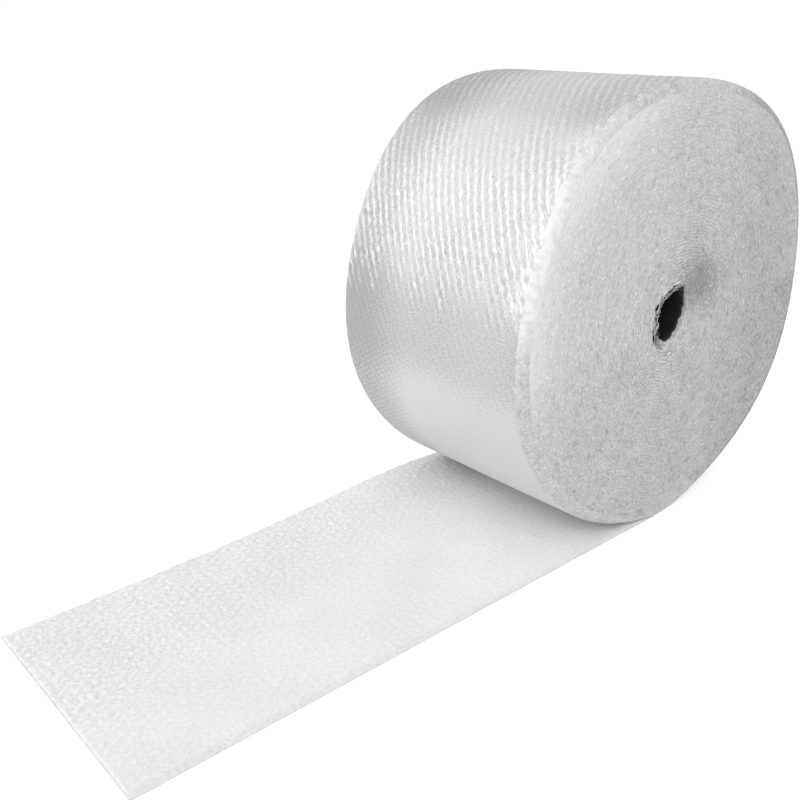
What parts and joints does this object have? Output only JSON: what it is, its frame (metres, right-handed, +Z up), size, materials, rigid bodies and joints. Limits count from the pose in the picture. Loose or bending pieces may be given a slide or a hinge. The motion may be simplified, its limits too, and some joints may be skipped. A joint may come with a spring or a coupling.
{
  "type": "bubble wrap roll",
  "caption": "Coreless roll of small-bubble cushioning film lying on its side, with its loose end laid out flat and an oval hand hole through the middle.",
  "frame": {"origin": "on the floor, under the roll's axis at the middle of its width", "axes": "+X along the roll's axis, -Y the way the loose end runs, +Z up"},
  "size_m": [0.305, 1.0012, 0.5327],
  "materials": {
    "bubble_film": "satin, clear polyethylene film that looks white in many layers"
  },
  "bodies": {
    "root": {"bubble_film_roll": "bubble_film"}
  },
  "joints": []
}
